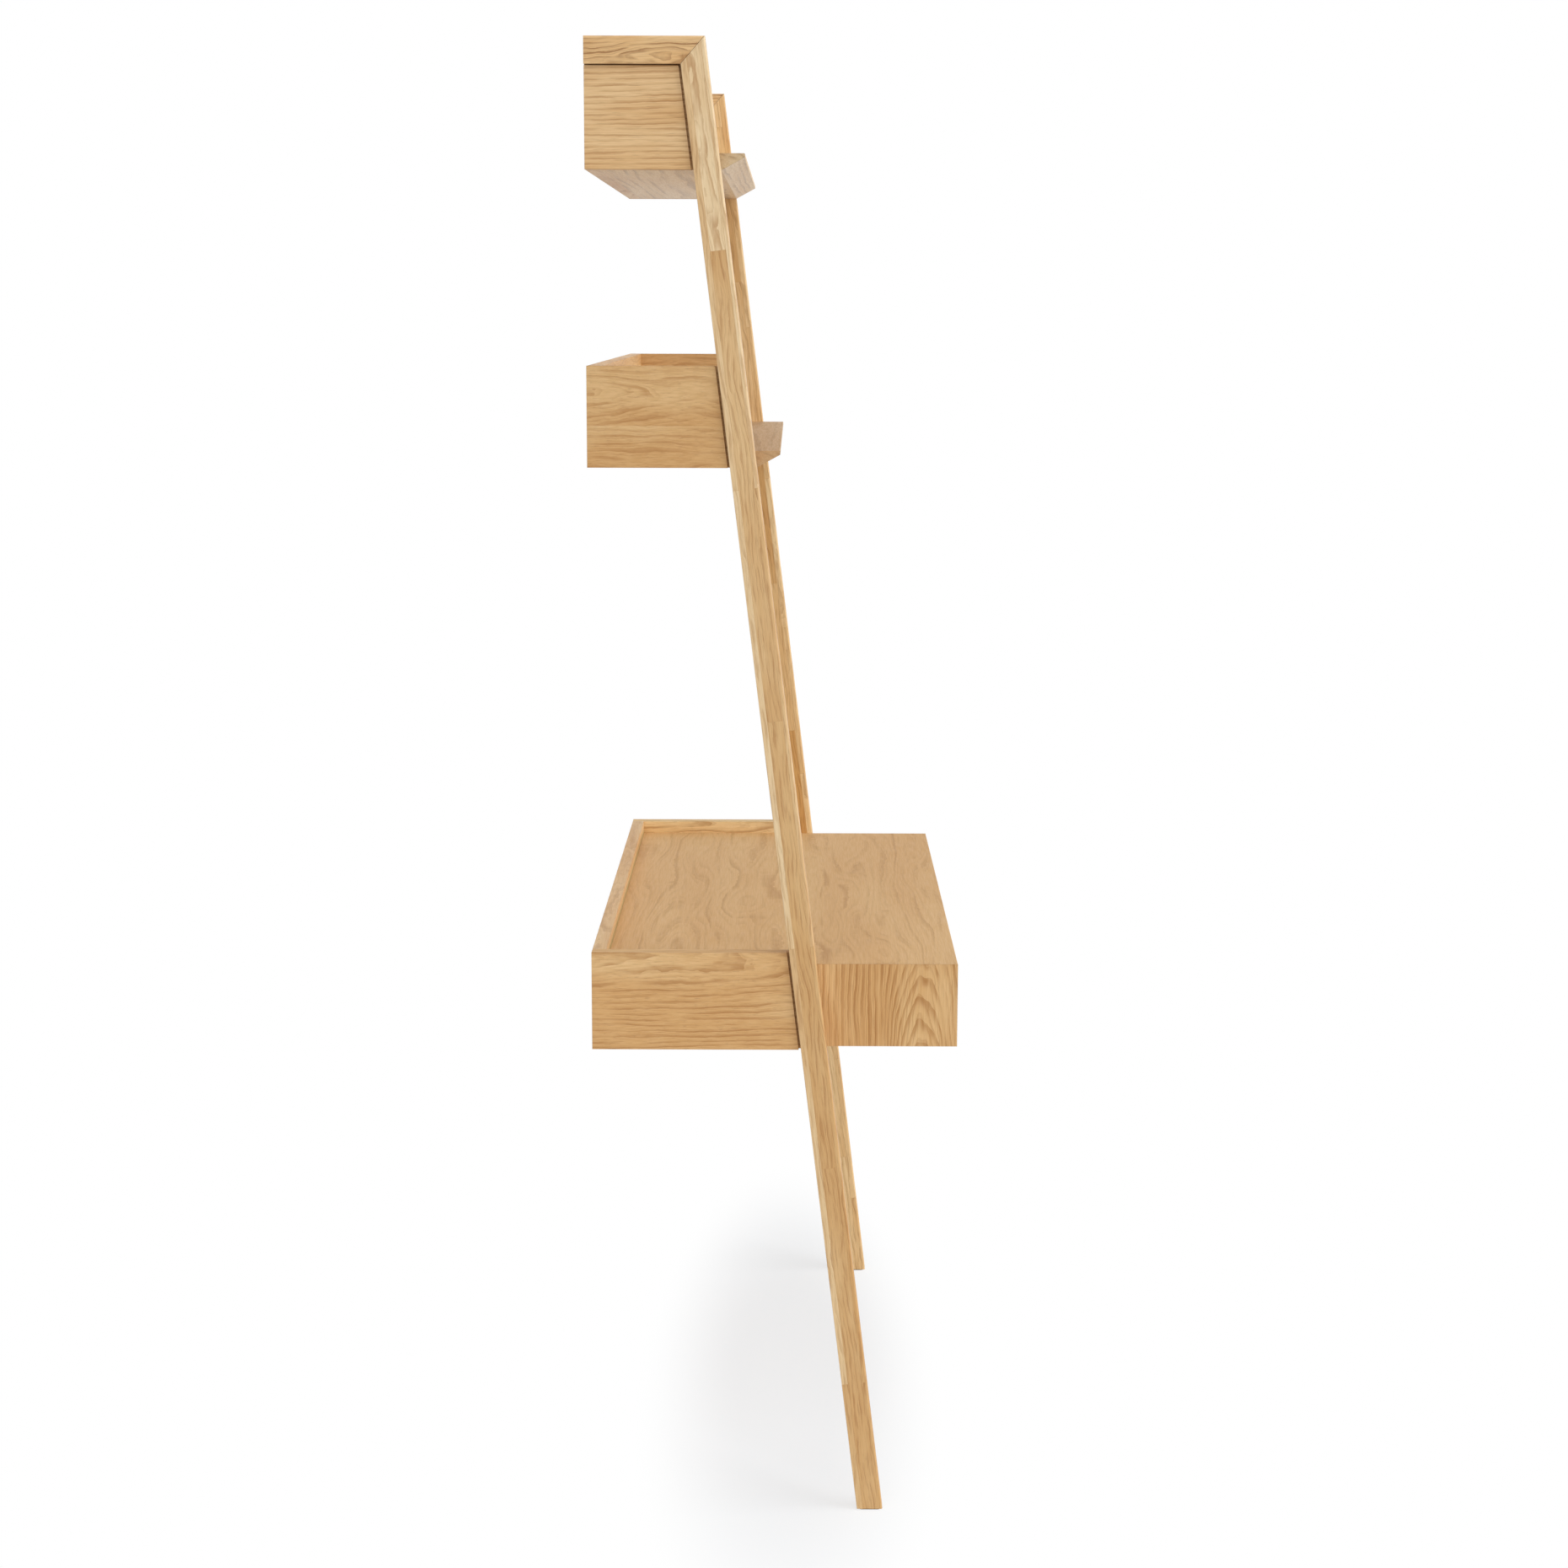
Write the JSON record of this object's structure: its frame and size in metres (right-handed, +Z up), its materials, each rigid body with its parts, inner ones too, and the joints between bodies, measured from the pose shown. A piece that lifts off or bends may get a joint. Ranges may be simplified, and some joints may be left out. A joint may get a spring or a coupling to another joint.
{
  "type": "ladder desk",
  "caption": "Leaning ladder desk in oak: slanted uprights mitred to short wall rails carry wedge-nosed shelf trays and a desk case with inset drawers on ball slides.",
  "frame": {"origin": "centre of the bounding box on the floor plane, midway between the wall plane and the desk front", "axes": "+X to the right of a person seated at the desk, +Y to the wall, +Z up"},
  "size_m": [1, 0.48, 1.93],
  "materials": {
    "oak_veneer": "satin lacquered oak veneer on board",
    "solid_oak": "satin lacquered finger-jointed solid oak",
    "drawer_wood": "sealed pale softwood",
    "birch_ply": "sealed birch plywood",
    "beech": "plain beech strip",
    "plated_steel": "bright zinc-plated steel",
    "zinc": "die-cast zinc",
    "felt": "dark brown wool felt"
  },
  "bodies": {
    "frame": {"back_tongues": "beech", "case_bolts": "plated_steel", "case_divider": "oak_veneer", "case_floor": "oak_veneer", "case_inserts": "zinc", "corner_tongues": "beech", "desk_back_panel": "oak_veneer", "desk_top": "oak_veneer", "divider_tongues": "beech", "floor_tongues": "beech", "left_case_side": "oak_veneer", "left_desk_panel": "oak_veneer", "left_drawer_outer_slides": "plated_steel", "left_foot_glide": "felt", "left_middle_panel": "oak_veneer", "left_top_panel": "oak_veneer", "left_top_rail": "solid_oak", "left_upright": "solid_oak", "middle_back_panel": "oak_veneer", "middle_shelf": "oak_veneer", "mitre_splines": "beech", "panel_tongues": "beech", "rail_tongues": "beech", "right_case_side": "oak_veneer", "right_desk_panel": "oak_veneer", "right_drawer_outer_slides": "plated_steel", "right_foot_glide": "felt", "right_middle_panel": "oak_veneer", "right_top_panel": "oak_veneer", "right_top_rail": "solid_oak", "right_upright": "solid_oak", "shelf_cam_pins": "plated_steel", "shelf_cams": "zinc", "shelf_tongues": "beech", "top_back_panel": "oak_veneer", "top_shelf": "oak_veneer"},
    "left_drawer": {"left_drawer_back": "drawer_wood", "left_drawer_bottom": "birch_ply", "left_drawer_front": "oak_veneer", "left_drawer_inner_side": "drawer_wood", "left_drawer_inner_slides": "plated_steel", "left_drawer_outer_side": "drawer_wood", "left_drawer_tongues": "beech"},
    "right_drawer": {"right_drawer_back": "drawer_wood", "right_drawer_bottom": "birch_ply", "right_drawer_front": "oak_veneer", "right_drawer_inner_side": "drawer_wood", "right_drawer_inner_slides": "plated_steel", "right_drawer_outer_side": "drawer_wood", "right_drawer_tongues": "beech"},
    "left_cages": {"left_drawer_ball_cages": "plated_steel"},
    "right_cages": {"right_drawer_ball_cages": "plated_steel"}
  },
  "joints": [
    {"name": "left_drawer_slide", "type": "slide", "parent": "frame", "child": "left_drawer", "axis": [0, -1, 0], "range_m": [0, 0.28]},
    {"name": "left_cage_slide", "type": "slide", "parent": "frame", "child": "left_cages", "axis": [0, -1, 0], "range_m": [0, 0.14]},
    {"name": "right_drawer_slide", "type": "slide", "parent": "frame", "child": "right_drawer", "axis": [0, -1, 0], "range_m": [0, 0.28]},
    {"name": "right_cage_slide", "type": "slide", "parent": "frame", "child": "right_cages", "axis": [0, -1, 0], "range_m": [0, 0.14]}
  ],
  "couplings": [
    {"joint": "left_cage_slide", "follows": "left_drawer_slide", "ratio": 0.5},
    {"joint": "right_cage_slide", "follows": "right_drawer_slide", "ratio": 0.5}
  ]
}
